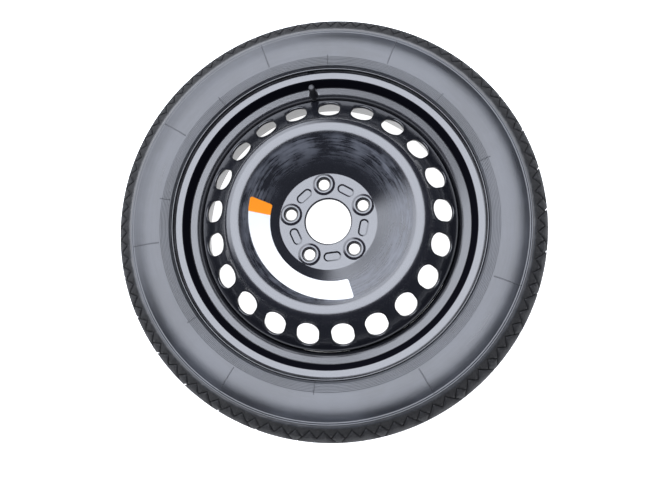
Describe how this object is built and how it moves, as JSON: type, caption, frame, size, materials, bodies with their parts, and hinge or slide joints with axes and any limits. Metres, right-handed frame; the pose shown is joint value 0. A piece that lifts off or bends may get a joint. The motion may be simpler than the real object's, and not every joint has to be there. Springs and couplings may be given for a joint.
{
  "type": "spare wheel",
  "caption": "Narrow temporary spare wheel: a black steel rim with a vented pressed disc, a slim tubeless tyre and a rubber valve.",
  "frame": {"origin": "spin axis at the face that bolts to the hub", "axes": "+Z along the spin axis, out of the wheel's street side; the bolt holes start 25.5 degrees round from +X"},
  "size_m": [0.6238, 0.6238, 0.1457],
  "materials": {
    "tyre_rubber": "matt moulded rubber",
    "rim_paint": "gloss black dip paint",
    "disc_paint": "gloss black dip paint with an orange-peel speckle",
    "label_film": "printed film, white with one orange end, bare of words",
    "valve_rubber": "smooth moulded rubber",
    "brass": "machined",
    "cap_plastic": "ribbed moulded plastic",
    "seal_rubber": "smooth",
    "gasket_rubber": "smooth",
    "spring_steel": "drawn wire"
  },
  "bodies": {
    "wheel": {"tyre": "tyre_rubber", "rim": "rim_paint", "disc": "disc_paint", "disc_rim_welds": "disc_paint", "label": "label_film", "valve_body": "valve_rubber", "valve_stem": "brass", "core_plug": "brass", "core_barrel": "brass", "core_barrel_gasket": "gasket_rubber", "core_spring": "spring_steel"},
    "cap_carrier": {"valve_cap_seal": "seal_rubber"},
    "cap": {"valve_cap": "cap_plastic"},
    "pin": {"core_pin": "brass", "core_cup": "brass", "core_cup_seal": "seal_rubber"}
  },
  "joints": [
    {"name": "cap_lift", "type": "slide", "parent": "wheel", "child": "cap_carrier", "axis": [0, 0, 1], "range_m": [0, 0.00397]},
    {"name": "cap_turn", "type": "hinge", "parent": "cap_carrier", "child": "cap", "pos_m": [-0.02543, 0.19313, 0.0225], "axis": [0, 0, 1], "range_deg": [0, 1800]},
    {"name": "pin_press", "type": "slide", "parent": "wheel", "child": "pin", "axis": [0, 0, -1], "range_m": [0, 0.0012], "stiffness_N_per_m": 800, "springref_m": -0.002, "deforming": ["core_spring"]}
  ],
  "couplings": [
    {"joint": "cap_turn", "follows": "cap_lift", "rad_per_m": 7913.3}
  ]
}
